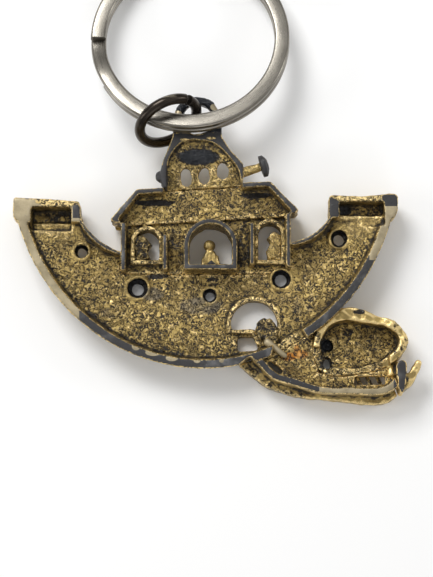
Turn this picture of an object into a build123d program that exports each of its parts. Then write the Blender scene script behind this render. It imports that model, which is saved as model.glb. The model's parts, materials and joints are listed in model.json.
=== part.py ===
from build123d import *
import os
from math import sqrt

# Key ring with a hollow-backed cast ark charm, in millimetres.
# The charm lies relief down and hollow back up; +Y runs from the charm to the split ring.

# driving dimensions of the casting
back_z = 5.0                  # ground back rim, above the lowest point of the relief
wall = 1.6                    # floor thickness of the hull dish
keel_half_width = 24.2        # the keel is an ellipse
keel_depth = 25.9
keel_centre = (-0.3, 25.7)
keel_draft = 9.0              # degrees
rim_width = 1.1
deck_lip = 0.35
belly_radius = 120.0          # the hull's front bulges as a very large ball
belly_y = 8.0
deck_left_y = 18.1            # top of the hull at the two ends
deck_right_y = 18.6
cabin_left = -10.6
cabin_right = 10.4
cabin_foot = 12.0
cabin_front_z = 0.4
cabin_plate = 1.5
side_wall = 0.55
below_all = -1.0              # cutting heights clear of the whole casting
above_all = 7.0

# driving dimensions of the rings
jump_mean_radius = 3.825      # 9 mm outside, 1.35 mm wire
jump_wire_radius = 0.675
jump_centre = Vector(-4.787, 30.676, 5.717)
jump_normal = Vector(0.4021, -0.809, 0.4288)
jump_gap_angle = 37.0
jump_gap = 9.0                # degrees left open between the wire's ends
split_outer_radius = 12.5     # a 25 mm ring
split_band = 1.9              # radial width of the flat wire
split_layer = 0.9             # thickness of one coil
split_gap = 0.1               # between the two coils
split_centre = Vector(-2.081, 41.456, 3.788)
split_normal = Vector(-0.0256, 0.2277, 0.9734)
split_end_angle = 180.0       # where the upper coil is cut
split_joggle = 30.0           # degrees over which the wire steps from coil to coil
split_joggle_steps = 6

loop_centre = (-1.15, 31.1)
loop_outer_radius = 2.9
loop_hole_radius = 1.9
lug_z = 3.5                   # underside of the hanging loop

os.makedirs("parts", exist_ok=True)
nodes = {}


def slab(face, low, high):
    return extrude(Pos(0, 0, low) * face, amount=high - low)


def outline(points):
    return make_face(Polyline(*points, close=True))


def smooth_outline(points):
    return make_face(Spline(*points, periodic=True))


def rounded(shape, radius, picker):
    """Rounds the picked edges, or leaves them sharp where they are too short to round."""
    try:
        return fillet(picker(shape), radius)
    except Exception:
        return shape


def largest(shape):
    """Keeps the main solid where a cut leaves a sliver behind."""
    return max(shape.solids(), key=lambda solid: solid.volume)


def low_edges(shape):
    return shape.edges().group_by(Axis.Z)[0]


def high_edges(shape):
    return shape.edges().group_by(Axis.Z)[-1]


def arch(left, right, foot, top):
    """A window outline: straight sides with a half-round head."""
    radius = (right - left) / 2
    spring = top - radius
    middle = (left + right) / 2
    edges = Polyline((left, spring), (left, foot), (right, foot), (right, spring))
    head = ThreePointArc((right, spring), (middle, top), (left, spring))
    return make_face([edges, head])


def grown(face, amount):
    return offset(face, amount, kind=Kind.INTERSECTION)


# hull -------------------------------------------------------------------------------------
def deck_cut(lip):
    """Everything above the hull's deck line, with the lips left standing."""
    left_end = (cabin_left, 14.3 - lip)
    right_end = (cabin_right, 15.5 - lip)
    left_curve = ThreePointArc((-15.4 - lip, deck_left_y), (-13.2 - lip, 15.7 - lip), left_end)
    right_curve = ThreePointArc(right_end, (12.9 + lip, 16.4 - lip), (15.2 + lip, deck_right_y))
    foot = Polyline(left_end, (cabin_left, cabin_foot), (cabin_right, cabin_foot), right_end)
    over = Polyline(
        (15.2 + lip, deck_right_y), (40, deck_right_y), (40, 60),
        (-40, 60), (-40, deck_left_y), (-15.4 - lip, deck_left_y))
    return make_face([left_curve, foot, right_curve, over])


def keel_form(inset):
    face = Pos(*keel_centre) * Ellipse(keel_half_width - inset, keel_depth - inset)
    return extrude(Pos(0, 0, back_z) * face, amount=-back_z, taper=keel_draft)


def belly(thickness):
    return Pos(0, belly_y, belly_radius) * Sphere(belly_radius - thickness)


def belly_height(x, y, thickness):
    radius = belly_radius - thickness
    return belly_radius - sqrt(radius**2 - x**2 - (y - belly_y) ** 2)


porthole_table = [
    # x, y, collar radius, hole radius
    (-15.6, 14.7, 1.15, 0.6),
    (-8.6, 10.2, 1.55, 0.75),
    (0.4, 9.3, 1.15, 0.6),
    (9.3, 11.3, 1.45, 0.75),
    (16.5, 16.25, 1.35, 0.68),
]
porthole_lip = 0.28
porthole_floor = 0.7          # thickness left at the bottom of the socket
hatch_lip = 0.5
hatch_head = ThreePointArc((3.1, 5.0), (5.5, 8.6), (8.8, 5.6))
hatch_foot = Polyline((8.8, 5.6), (8.8, 3.6), (6.6, 3.6), (6.0, 5.0), (3.1, 5.0))
hatch_hole = make_face([hatch_head, hatch_foot])
lower_hole = Pos(5.1, 3.2) * RectangleRounded(2.6, 1.8, 0.4)
door_notch = outline([(2.4, -1.0), (5.4, 1.4), (6.3, 0.4), (6.4, -1.0)])
ramp_mouth = outline([(7.2, -1.5), (8.4, 3.2), (11.6, 5.0), (14.0, 1.0)])
ramp_floor_z = 3.0

hull = keel_form(0) & belly(0)
hull -= slab(deck_cut(0), below_all, above_all)
hull -= slab(door_notch, below_all, above_all)
dish = keel_form(rim_width) & belly(wall)
dish -= slab(deck_cut(deck_lip), below_all, above_all)
hull -= dish
hull -= slab(ramp_mouth, ramp_floor_z, above_all)
hull -= slab(grown(hatch_hole, hatch_lip), below_all, above_all)
hull -= slab(lower_hole, below_all, above_all)

for number, (x, y, collar_radius, hole_radius) in enumerate(porthole_table, start=1):
    low = max(0, belly_height(x, y, 0) - 0.1)
    high = belly_height(x, y, wall) + 0.25
    hull -= Pos(x, y, 0) * Cylinder(collar_radius, 20)
    collar = Pos(x, y, (low + high) / 2) * Cylinder(collar_radius, high - low)
    collar = rounded(collar, 0.1, high_edges)
    collar -= slab(Pos(x, y) * Circle(collar_radius - porthole_lip), low + porthole_floor, above_all)
    nodes[f"porthole_collar_{number}"] = collar - Pos(x, y, 0) * Cylinder(hole_radius, 20)

hatch_ring = slab(grown(hatch_hole, hatch_lip), 0.1, 2.1) - slab(hatch_hole, below_all, above_all)
nodes["hatch_frame"] = hatch_ring

hatch_body = outline([
    (6.1, 4.9), (6.4, 5.9), (7.1, 6.3), (8.1, 6.1), (8.9, 5.0), (8.9, 3.5), (6.5, 3.5)]) & hatch_hole
hatch_neck = outline([(7.2, 3.6), (8.0, 4.2), (9.8, 2.2), (9.2, 1.5)])
door_animal = slab(hatch_body, 0.9, 3.0) + slab(hatch_neck, 1.75, 3.0)
door_animal = rounded(door_animal, 0.3, high_edges)
nodes["hatch_animal"] = largest(door_animal - nodes["hatch_frame"] - hull)


# end caps ----------------------------------------------------------------------------------
def end_cap(points, slot_centre, slot_size, slot_floor):
    cap = slab(outline(points), cap_low_z, back_z)
    cap = rounded(cap, 0.35, lambda shape: shape.edges().filter_by(Axis.Z))
    slot = slab(Pos(*slot_centre) * RectangleRounded(*slot_size, 0.3), slot_floor, above_all)
    return cap - slot


cap_low_z = 1.4

bow_points = [
    (-24.0, 18.6), (-24.0, 21.15), (-19.5, 20.95), (-15.8, 20.65), (-15.5, deck_left_y), (-23.2, deck_left_y)]
stern_points = [
    (15.2, deck_right_y), (15.2, 21.45), (19.3, 21.3), (22.9, 21.65), (23.75, 21.5), (23.75, 19.6),
    (23.3, deck_right_y)]
bow_cap = end_cap(bow_points, (-19.3, 19.15), (5.0, 1.7), 1.9)
stern_cap = end_cap(stern_points, (19.3, 19.87), (5.6, 1.6), 2.3)

# the sill between each slot and the dish stands below the ground rim
bow_sill = slab(Pos(-19.3, 18.0) * Rectangle(5.0, 1.6), 2.4, above_all)
stern_sill = slab(Pos(19.3, 18.55) * Rectangle(5.6, 1.8), 3.6, above_all)
nodes["bow_cap"] = bow_cap - bow_sill
nodes["stern_cap"] = stern_cap - stern_sill
nodes["hull_shell"] = hull - bow_sill - stern_sill

# cabin -------------------------------------------------------------------------------------
eave_left_y = 18.0
eave_right_y = 19.2
cabin_face = outline([
    (cabin_left, cabin_foot), (cabin_right, cabin_foot),
    (cabin_right, eave_right_y), (cabin_left, eave_left_y)])
cabin_inside = outline([
    (cabin_left + side_wall, cabin_foot - 1), (cabin_right - side_wall, cabin_foot - 1),
    (cabin_right - side_wall, 21), (cabin_left + side_wall, 21)])
window_table = {
    # name: left, right, foot, head, frame width, frame height
    "left": (-9.0, -5.9, 13.6, 17.4, 0.5, 3.0),
    "centre": (-2.2, 3.2, 12.75, 17.9, 0.6, back_z),
    "right": (6.4, 9.3, 13.6, 18.3, 0.5, 3.2),
}
plate_top = cabin_front_z + cabin_plate
cabin = slab(cabin_face, cabin_front_z, back_z)
cabin -= slab(cabin_inside, plate_top, above_all)
for name, (left, right, foot, head, frame, height) in window_table.items():
    hole = arch(left, right, foot, head)
    around = arch(left - frame, right + frame, foot - frame, head + frame)
    cabin -= slab(around, below_all, above_all)
    ring = slab(around, 0.15, height) - slab(hole, below_all, above_all)
    nodes[f"window_frame_{name}"] = ring
for x, y, collar_radius, hole_radius in porthole_table:
    cabin -= Pos(x, y, 0) * Cylinder(collar_radius, 20)
nodes["cabin_wall"] = cabin
post_left = Pos(-5.15, 14.3, 0) * Rectangle(0.5, 4.4)
post_right = Pos(5.65, 15.4, 0) * Rectangle(0.5, 5.2)
nodes["window_frame_left"] += slab(post_left, plate_top, back_z)
nodes["window_frame_right"] += slab(post_right, plate_top, back_z)

figure_body = outline([(-0.8, 12.75), (-0.45, 14.0), (0.0, 14.9), (0.75, 14.9), (1.4, 14.0), (1.9, 12.75)])
figure = slab(figure_body, 1.2, 3.4)
figure = rounded(figure, 0.4, high_edges)
figure += Pos(0.35, 15.45, 2.4) * Sphere(0.72)
nodes["window_figure"] = figure - nodes["window_frame_centre"]
left_head = outline([
    (-9.0, 13.6), (-7.0, 13.6), (-7.4, 14.8), (-6.9, 15.7), (-7.5, 16.4), (-8.3, 17.0), (-9.0, 16.6)])
right_head = outline([
    (9.3, 13.6), (7.7, 13.6), (7.5, 14.7), (7.9, 15.8), (7.6, 16.5), (8.4, 17.3), (9.3, 16.9)])
for name, face in {"left": left_head, "right": right_head}.items():
    head_shape = rounded(slab(face, 0.9, 2.6), 0.35, high_edges)
    nodes[f"window_animal_{name}"] = head_shape - nodes[f"window_frame_{name}"]

# roof --------------------------------------------------------------------------------------
ridge_left = (-8.7, 22.2)
ridge_right = (7.9, 23.2)
roof_rim = 0.6
roof_low_z = 1.0
roof_plate_top = 2.4
roof_face = outline([
    (-11.95, 18.4), (-11.3, 17.95), (cabin_left, eave_left_y), (cabin_right, eave_right_y),
    (11.0, 19.2), (11.4, 19.6), ridge_right, ridge_left])
roof_inside = outline([
    (-10.3, 17.0), (-10.9, 18.5), (-8.45, 22.2 - roof_rim), (-5.3, 22.4 - roof_rim), (-5.3, 24),
    (4.4, 24), (4.4, 23.0 - roof_rim), (7.65, 23.2 - roof_rim), (10.45, 19.6), (10.2, 17.0)])
roof = slab(roof_face, roof_low_z, back_z) - slab(roof_inside, roof_plate_top, above_all)
nodes["cabin_roof"] = roof

# cupola ------------------------------------------------------------------------------------
def ridge_height(x):
    slope = (ridge_right[1] - ridge_left[1]) / (ridge_right[0] - ridge_left[0])
    return ridge_left[1] + slope * (x - ridge_left[0])


cupola_top = 28.9
cupola_base = Line((4.4, ridge_height(4.4)), (-5.3, ridge_height(-5.3)))
cupola_left = Spline((-5.3, ridge_height(-5.3)), (-5.7, 24.6), (-5.1, 26.6), (-4.2, cupola_top))
cupola_cap = Line((-4.2, cupola_top), (1.85, cupola_top))
peg_side_x = 4.55
cupola_right = Polyline(
    (1.85, cupola_top), (2.9, 27.2), (peg_side_x, 25.4), (peg_side_x, 23.7), (4.4, ridge_height(4.4)))
cupola_face = make_face([cupola_base, cupola_left, cupola_cap, cupola_right])
cupola_side = Plane.YZ * outline([(22, 1.2), (27.0, 3.45), (30, 3.45), (30, back_z), (22, back_z)])
hollow_side = Plane.YZ * outline([(21, 2.0), (26.4, 4.2), (30, 4.2), (30, 7), (21, 7)])
cupola_form = extrude(cupola_side, amount=12, both=True)
cupola_hollow = extrude(hollow_side, amount=12, both=True)
inner_side = Spline(
    (-4.7, 21.5), (-5.0, 24.6), (-4.35, 26.8), (-3.0, 28.2), (-0.9, 28.45), (1.2, 27.9), (2.5, 26.7),
    (3.85, 24.9), (3.9, 21.5))
inner_base = Line((3.9, 21.5), (-4.7, 21.5))
cupola_inside = make_face([inner_side, inner_base])
cupola_block = slab(cupola_face, 0, back_z)
cupola = cupola_block & cupola_form
cupola -= slab(cupola_inside, 0, above_all) & cupola_hollow
cupola_windows = [(-2.6, 24.0, 1.5, 2.2), (-0.3, 24.2, 1.5, 2.15), (2.0, 24.8, 1.55, 2.1)]
for x, y, width, height in cupola_windows:
    cupola -= slab(Pos(x, y) * Ellipse(width / 2, height / 2), below_all, above_all)
nodes["cupola"] = cupola

knob = Pos(-5.5, 23.95, 4.0) * Sphere(0.85)
knob &= Pos(-5.9, 23.95, 4.0) * Box(1.1, 1.5, 1.5)
nodes["cupola_knob"] = largest(knob - cupola_block)

peg_tilt = 17.0
peg_shaft = Pos(0.9, 0, 0) * Rot(0, 90, 0) * Cone(0.66, 0.48, 2.8)
peg_head = Pos(2.45, 0, 0) * Rot(0, 90, 0) * Cylinder(1.35, 0.5)
peg_cap = Pos(2.9, 0, 0) * Rot(0, 90, 0) * Cone(1.35, 0.6, 0.4)
peg_foot = (4.7, 24.55, 4.0)
peg = Pos(*peg_foot) * Rot(0, 0, peg_tilt) * (peg_shaft + peg_head + peg_cap)
cupola_room = slab(Pos(0, peg_foot[1]) * Rectangle(2 * peg_side_x, 10), below_all, above_all)
nodes["horn_peg"] = peg - cupola_room

loop_disc = Pos(*loop_centre) * Circle(loop_outer_radius)
neck_height = loop_centre[1] - cupola_top
loop_neck = Pos(loop_centre[0] - 0.025, cupola_top + neck_height / 2) * Rectangle(6.05, neck_height)
loop_face = (loop_disc + loop_neck) - Pos(0, cupola_top - 10) * Rectangle(30, 20)
loop_face -= Pos(*loop_centre) * Circle(loop_hole_radius)
loop_solid = slab(loop_face, lug_z, back_z)
loop_solid = rounded(loop_solid, 0.4, lambda shape: shape.edges().filter_by(GeomType.CIRCLE))
nodes["hanging_loop"] = loop_solid - cupola

# gangway -----------------------------------------------------------------------------------
keel_cutter = keel_form(0) & belly(0)
gangway_low = [
    (5.4, 1.25), (6.9, -0.25), (8.3, -1.5), (9.7, -1.95), (11.2, -2.4), (14.2, -3.2),
    (18.1, -3.3), (22.1, -3.2), (23.5, -2.4)]
gangway_edge_top = [
    (23.2, -1.3), (22.0, -2.3), (18.1, -2.55), (14.2, -2.45), (11.4, -1.6), (9.9, -1.15),
    (8.6, -0.7), (7.3, 0.55), (6.0, 1.6)]
edge_face = make_face([Spline(*gangway_low), Line(gangway_low[-1], gangway_edge_top[0]),
                       Spline(*gangway_edge_top), Line(gangway_edge_top[-1], gangway_low[0])])
gangway_edge = slab(edge_face, 2.2, back_z) - keel_cutter
nodes["gangway_edge"] = gangway_edge

animal_outline = Spline(
    (13.2, 1.9), (13.5, 4.4), (15.0, 6.6), (17.0, 7.45), (18.9, 7.35), (20.6, 6.6), (22.6, 6.05), (24.0, 5.1),
    (24.75, 3.7), (24.5, 2.2), (23.4, 0.9), (20.8, -0.3), (17.2, -0.9), (14.2, -0.4), periodic=True)
animal_face = make_face(animal_outline)
animal_wall = 0.85
animal_hollow = Spline(
    (14.1, 2.2), (14.5, 4.2), (16.0, 5.6), (19.0, 5.7), (21.8, 5.2), (23.6, 4.1), (23.7, 2.8), (22.7, 1.6),
    (20.4, 0.5), (17.2, 0.0), (15.0, 0.5), periodic=True)
animal_high_z = 4.4
animal_floor_z = 1.5
animal_low_side_z = 3.2
animal_pit_z = 0.8
animal = slab(animal_face, 0.0, animal_high_z)
animal = rounded(animal, 0.9, low_edges)
animal -= slab(make_face(animal_hollow), animal_floor_z, above_all)
animal -= keel_cutter
low_side = outline([
    (12.8, -1.5), (12.8, 2.6), (14.4, 2.6), (15.5, 0.9), (20.4, 1.0), (22.6, 1.7), (22.6, -1.5)])
animal -= slab(low_side, animal_low_side_z, above_all)
animal -= slab(Pos(14.95, 0.75) * Ellipse(0.55, 0.8), below_all, above_all)
animal -= slab(Pos(15.1, 3.0) * Circle(0.7), animal_pit_z, above_all)
nodes["big_animal"] = animal

floor_outline = outline([
    (5.9, 0.8), (7.2, 2.0), (12.2, 4.8), (13.8, 4.6), (13.8, -0.6), (18.0, -0.9), (22.3, 0.1), (23.4, -1.0),
    (23.3, -2.5), (18.0, -3.0), (13.9, -3.0), (9.6, -1.7)])
gangway = slab(floor_outline, 2.2, ramp_floor_z) - keel_cutter - animal - gangway_edge
gangway -= nodes["hatch_animal"]
gangway -= slab(Pos(20.2, -1.5) * Rectangle(3.8, 1.0), below_all, above_all)
gangway -= slab(Pos(8.5, 0.1) * Rot(0, 0, -38) * SlotOverall(2.2, 0.65), below_all, above_all)
nodes["gangway_floor"] = largest(gangway)

skirt_face = make_face([
    Spline((4.0, 0.5), (5.8, -1.0), (7.3, -2.1), (9.0, -2.8), (11.2, -3.4), (15.0, -3.8), (18.4, -4.2),
           (22.1, -4.2), (23.6, -3.3)),
    Line((23.6, -3.3), (23.2, -2.2)),
    Spline((23.2, -2.2), (18.0, -2.4), (14.0, -2.2), (10.0, -1.4), (7.4, 0.2), (6.2, 1.3)),
    Line((6.2, 1.3), (4.0, 0.5))])
skirt = rounded(slab(skirt_face, 0.3, 2.2), 0.4, low_edges)
nodes["gangway_skirt"] = skirt - keel_cutter - animal

slat_count = 3
slats = [
    Pos(18.9 + 1.25 * index, -1.5, 1.95) * Rot(0, 0, 25) * Box(0.45, 1.9, 0.5) for index in range(slat_count)]
nodes["gangway_slats"] = slats[0] + slats[1:] - skirt - animal

lump_face = smooth_outline([
    (23.5, -2.2), (23.4, -0.6), (23.6, 0.7), (24.3, 0.8), (24.6, -0.6), (24.4, -2.2), (24.0, -3.2)])
lump = rounded(slab(lump_face, 1.6, back_z), 0.3, high_edges)
nodes["animal_foot"] = lump - animal - gangway_edge - skirt - gangway

trunk_face = make_face([
    Spline((24.0, -3.0), (25.2, -2.1), (26.1, -0.7), (26.5, 0.5)),
    ThreePointArc((26.5, 0.5), (26.25, 0.85), (25.85, 0.7)),
    Spline((25.85, 0.7), (25.1, -0.4), (24.3, -1.3)),
    Line((24.3, -1.3), (24.0, -3.0))])
trunk = rounded(slab(trunk_face, 2.6, 4.3), 0.4, lambda shape: shape.edges().filter_by(Axis.Z, reverse=True))
nodes["animal_trunk"] = trunk - lump - gangway_edge - skirt

leg = Pos(22.85, 0.1, 2.9) * Rot(80, 0, -8) * Cylinder(0.5, 2.2)
nodes["animal_leg"] = leg - animal - gangway - gangway_edge - lump

# rings -------------------------------------------------------------------------------------
jump_across = Vector(-jump_normal.Y, jump_normal.X, 0).normalized()
jump_plane = Plane(origin=jump_centre, x_dir=jump_across, z_dir=jump_normal)
wire_section = Plane.XZ * (Pos(jump_mean_radius, 0) * Circle(jump_wire_radius))
jump_local = revolve(wire_section, Axis.Z, 360 - jump_gap)
jump_local = rounded(jump_local, 0.15, lambda shape: shape.edges().filter_by(GeomType.CIRCLE))
jump_turn = Rot(0, 0, jump_gap_angle + jump_gap / 2)
nodes["jump_ring"] = jump_plane.location * jump_turn * jump_local

split_across = Vector(split_normal.Z, 0, -split_normal.X).normalized()
split_plane = Plane(origin=split_centre, x_dir=split_across, z_dir=split_normal)
split_mean_radius = split_outer_radius - split_band / 2
layer_offset = (split_layer + split_gap) / 2


def coil_section(height):
    """Flat wire with its outer and inner edges rounded."""
    return Plane.XZ * (Pos(split_mean_radius, height) * RectangleRounded(split_band, split_layer, 0.25))


coil_sweep = 360 - split_joggle
coil_start = Rot(0, 0, split_end_angle + split_joggle)
upper_coil = coil_start * revolve(coil_section(layer_offset), Axis.Z, coil_sweep)
lower_coil = coil_start * revolve(coil_section(-layer_offset), Axis.Z, coil_sweep)
joggle_sections = []
for step in range(split_joggle_steps + 1):
    share = step / split_joggle_steps
    height = layer_offset * (2 * share**2 * (3 - 2 * share) - 1)
    joggle_sections.append(Rot(0, 0, split_end_angle + split_joggle * share) * coil_section(height))
joggle = loft(joggle_sections, ruled=True)
split_local = upper_coil + joggle + lower_coil
nodes["split_ring"] = split_plane.location * split_local

# place the assembly with its origin under the middle of its box, then write it ---------------
pieces = {name: Compound(shape.solids()) for name, shape in nodes.items()}
box = Compound([solid for piece in pieces.values() for solid in piece.solids()]).bounding_box()
origin_shift = Vector(-(box.min.X + box.max.X) / 2, -(box.min.Y + box.max.Y) / 2, -box.min.Z)
for name, piece in pieces.items():
    export_step(Pos(*origin_shift) * piece, f"parts/{name}.step")

# the swivel's line, through the loop's wall and the jump ring, in the finished frame
swivel_point = Vector(-2.02, 30.6, (lug_z + back_z) / 2) + origin_shift
print("shift", origin_shift)
print("size", box.size)
print("swivel", swivel_point)
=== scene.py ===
import json
import math

import bmesh
import bpy
import numpy as np
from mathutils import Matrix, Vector


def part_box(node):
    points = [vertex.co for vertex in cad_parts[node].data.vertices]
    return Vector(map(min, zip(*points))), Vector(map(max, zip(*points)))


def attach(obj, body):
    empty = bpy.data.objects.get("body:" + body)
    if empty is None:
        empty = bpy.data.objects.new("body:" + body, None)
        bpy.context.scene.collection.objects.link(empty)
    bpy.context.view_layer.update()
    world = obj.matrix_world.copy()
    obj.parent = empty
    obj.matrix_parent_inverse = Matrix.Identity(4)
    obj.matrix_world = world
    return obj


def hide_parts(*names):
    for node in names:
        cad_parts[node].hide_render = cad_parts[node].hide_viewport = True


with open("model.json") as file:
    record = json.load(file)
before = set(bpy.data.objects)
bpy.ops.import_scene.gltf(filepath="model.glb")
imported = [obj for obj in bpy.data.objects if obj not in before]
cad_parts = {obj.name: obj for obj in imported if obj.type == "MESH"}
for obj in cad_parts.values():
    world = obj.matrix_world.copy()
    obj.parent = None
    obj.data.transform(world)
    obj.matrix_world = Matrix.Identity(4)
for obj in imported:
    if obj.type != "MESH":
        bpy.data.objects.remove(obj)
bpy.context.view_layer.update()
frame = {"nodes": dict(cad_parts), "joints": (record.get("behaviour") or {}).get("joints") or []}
scene = bpy.context.scene
mm = 0.001
print("frame loaded")


# node helpers

def group(name, ins, outs):
    tree = bpy.data.node_groups.new(name, "ShaderNodeTree")
    for label, kind, value in ins:
        socket = tree.interface.new_socket(label, in_out="INPUT", socket_type=kind)
        socket.default_value = value
    for label, kind in outs:
        tree.interface.new_socket(label, in_out="OUTPUT", socket_type=kind)
    return tree, tree.nodes.new("NodeGroupInput"), tree.nodes.new("NodeGroupOutput")


def calc(tree, operation, first, second=None, third=None, clamp=False):
    node = tree.nodes.new("ShaderNodeMath")
    node.operation = operation
    node.use_clamp = clamp
    for slot, value in enumerate((first, second, third)):
        if value is None:
            continue
        if isinstance(value, (int, float)):
            node.inputs[slot].default_value = value
        else:
            tree.links.new(value, node.inputs[slot])
    return node.outputs[0]


def spread(tree, value, low, high, toLow=0.0, toHigh=1.0):
    node = tree.nodes.new("ShaderNodeMapRange")
    node.interpolation_type = "SMOOTHSTEP"
    for slot, item in enumerate((value, low, high, toLow, toHigh)):
        if isinstance(item, (int, float)):
            node.inputs[slot].default_value = item
        else:
            tree.links.new(item, node.inputs[slot])
    return node.outputs[0]


def blendColour(tree, factor, first, second):
    node = tree.nodes.new("ShaderNodeMix")
    node.data_type = "RGBA"
    for slot, item in ((0, factor), (6, first), (7, second)):
        if isinstance(item, (int, float, tuple)):
            node.inputs[slot].default_value = item
        else:
            tree.links.new(item, node.inputs[slot])
    return node.outputs[2]


def noiseOf(tree, vector, scale, detail=3.0, rough=0.5, distortion=0.0):
    node = tree.nodes.new("ShaderNodeTexNoise")
    node.inputs["Detail"].default_value = detail
    node.inputs["Roughness"].default_value = rough
    node.inputs["Distortion"].default_value = distortion
    if isinstance(scale, (int, float)):
        node.inputs["Scale"].default_value = scale
    else:
        tree.links.new(scale, node.inputs["Scale"])
    tree.links.new(vector, node.inputs["Vector"])
    return node.outputs["Fac"]


# camera, light, floor

viewSet = {
    "target": (-0.02, -14.97, 5.0),  # mm, what the middle of the view looks at
    "distance": 280.0,
    "elevation": 82.0,
    "lens": 94.34,
    "sensor": 24.0,
    "near": 10.0,
    "far": 10000.0,
}


def aim(obj, target):
    obj.rotation_euler = (Vector(target) - obj.location).to_track_quat("-Z", "Y").to_euler()


def addCamera():
    cam = bpy.data.cameras.new("camera")
    cam.sensor_fit = "VERTICAL"
    cam.sensor_height = viewSet["sensor"]
    cam.lens = viewSet["lens"]
    cam.clip_start = viewSet["near"] * mm
    cam.clip_end = viewSet["far"] * mm
    obj = bpy.data.objects.new("camera", cam)
    scene.collection.objects.link(obj)
    up = math.radians(viewSet["elevation"])
    target = Vector(viewSet["target"]) * mm
    obj.location = target + Vector((0, -math.cos(up), math.sin(up))) * viewSet["distance"] * mm
    aim(obj, target)
    scene.camera = obj


lightSet = {  # places and sizes in metres, power in watts
    "softTop": {"at": (-0.14, 0.20, 0.30), "size": 0.18, "power": 0.95},
    "sideLeft": {"at": (-0.32, -0.06, 0.14), "size": 0.12, "power": 0.25},
    "sideRight": {"at": (0.34, 0.08, 0.18), "size": 0.12, "power": 0.22},
    "front": {"at": (0.08, -0.34, 0.16), "size": 0.16, "power": 0.15},
}
lightTarget = (0, -0.01, 0.004)
worldSet = {
    "low": (0.22, 0.22, 0.225, 1), "high": (1.0, 1.0, 1.0, 1), "strength": 0.52,
    "wallTop": 0.05, "ceiling": 0.75,  # heights between which the room brightens
}
floorSet = {"size": 3.0, "colour": (0.97, 0.97, 0.965, 1), "roughness": 0.9, "drop": 0.00002}


def addLights():
    for name, s in lightSet.items():
        lamp = bpy.data.lights.new(name, "AREA")
        lamp.size = s["size"]
        lamp.energy = s["power"]
        obj = bpy.data.objects.new(name, lamp)
        obj.location = s["at"]
        scene.collection.objects.link(obj)
        aim(obj, lightTarget)
    world = bpy.data.worlds.new("softRoom")
    world.use_nodes = True
    tree = world.node_tree
    back = tree.nodes["Background"]
    coords = tree.nodes.new("ShaderNodeTexCoord")
    split = tree.nodes.new("ShaderNodeSeparateXYZ")
    tree.links.new(coords.outputs["Generated"], split.inputs[0])
    rise = spread(tree, split.outputs[2], worldSet["wallTop"], worldSet["ceiling"])
    # darker walls and a bright ceiling give the metal something to mirror
    tree.links.new(blendColour(tree, rise, worldSet["low"], worldSet["high"]), back.inputs["Color"])
    back.inputs["Strength"].default_value = worldSet["strength"]
    scene.world = world


def addFloor():
    half = floorSet["size"] / 2
    mesh = bpy.data.meshes.new("floor")
    corners = [(-half, -half, 0), (half, -half, 0), (half, half, 0), (-half, half, 0)]
    mesh.from_pydata(corners, [], [(0, 1, 2, 3)])
    obj = bpy.data.objects.new("floor", mesh)
    obj.location.z = -floorSet["drop"]
    scene.collection.objects.link(obj)
    mat = bpy.data.materials.new("paleFloor")
    mat.use_nodes = True
    shader = mat.node_tree.nodes["Principled BSDF"]
    shader.inputs["Base Color"].default_value = floorSet["colour"]
    shader.inputs["Roughness"].default_value = floorSet["roughness"]
    obj.data.materials.append(mat)


addCamera()
addLights()
addFloor()
scene.view_settings.view_transform = "Standard"
print("camera, light and floor set")


# shared effects

grainSet = {
    "scale": 1800.0, "level": 0.41, "soft": 0.08, "bands": 4.5,
    "detail": 2.5, "roughness": 0.55, "distortion": 0.9,
    "patchScale": 300.0, "patchDetail": 2.0, "patchSwing": 0.55,  # wide areas with more or less raised gold
}
speckSet = {
    "detail": 4.0, "roughness": 0.6, "distortion": 0.4,
    "threshold": 0.78, "perAmount": 0.35, "edge": 0.04,
    "cloudScale": 0.3, "cloudDetail": 3.0, "cloudRoughness": 0.55, "cloudDistortion": 0.3,
}
hairlineSet = {"detail": 5.0, "roughness": 0.65, "low": 0.35, "high": 0.7}


def wormGrainGroup():
    # rough sand-cast skin: raised worms of gold with dark ground between them
    s = grainSet
    tree, ins, outs = group(
        "wormGrain",
        [("Vector", "NodeSocketVector", (0, 0, 0)), ("Scale", "NodeSocketFloat", s["scale"]),
         ("Level", "NodeSocketFloat", s["level"]), ("Soft", "NodeSocketFloat", s["soft"]),
         ("Bands", "NodeSocketFloat", s["bands"])],
        [("Mask", "NodeSocketFloat"), ("Height", "NodeSocketFloat")])
    vector = ins.outputs["Vector"]
    field = noiseOf(tree, vector, ins.outputs["Scale"], s["detail"], s["roughness"], s["distortion"])
    worms = calc(tree, "PINGPONG", calc(tree, "MULTIPLY", field, ins.outputs["Bands"]), 0.5)
    worms = calc(tree, "MULTIPLY", worms, 2.0)  # back to 0 to 1
    patches = noiseOf(tree, vector, s["patchScale"], s["patchDetail"])
    swing = calc(tree, "SUBTRACT", patches, 0.5)
    level = calc(tree, "MULTIPLY_ADD", swing, s["patchSwing"], ins.outputs["Level"])
    low = calc(tree, "SUBTRACT", level, ins.outputs["Soft"])
    high = calc(tree, "ADD", level, ins.outputs["Soft"])
    tree.links.new(spread(tree, worms, low, high), outs.inputs["Mask"])
    tree.links.new(worms, outs.inputs["Height"])
    return tree


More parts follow.
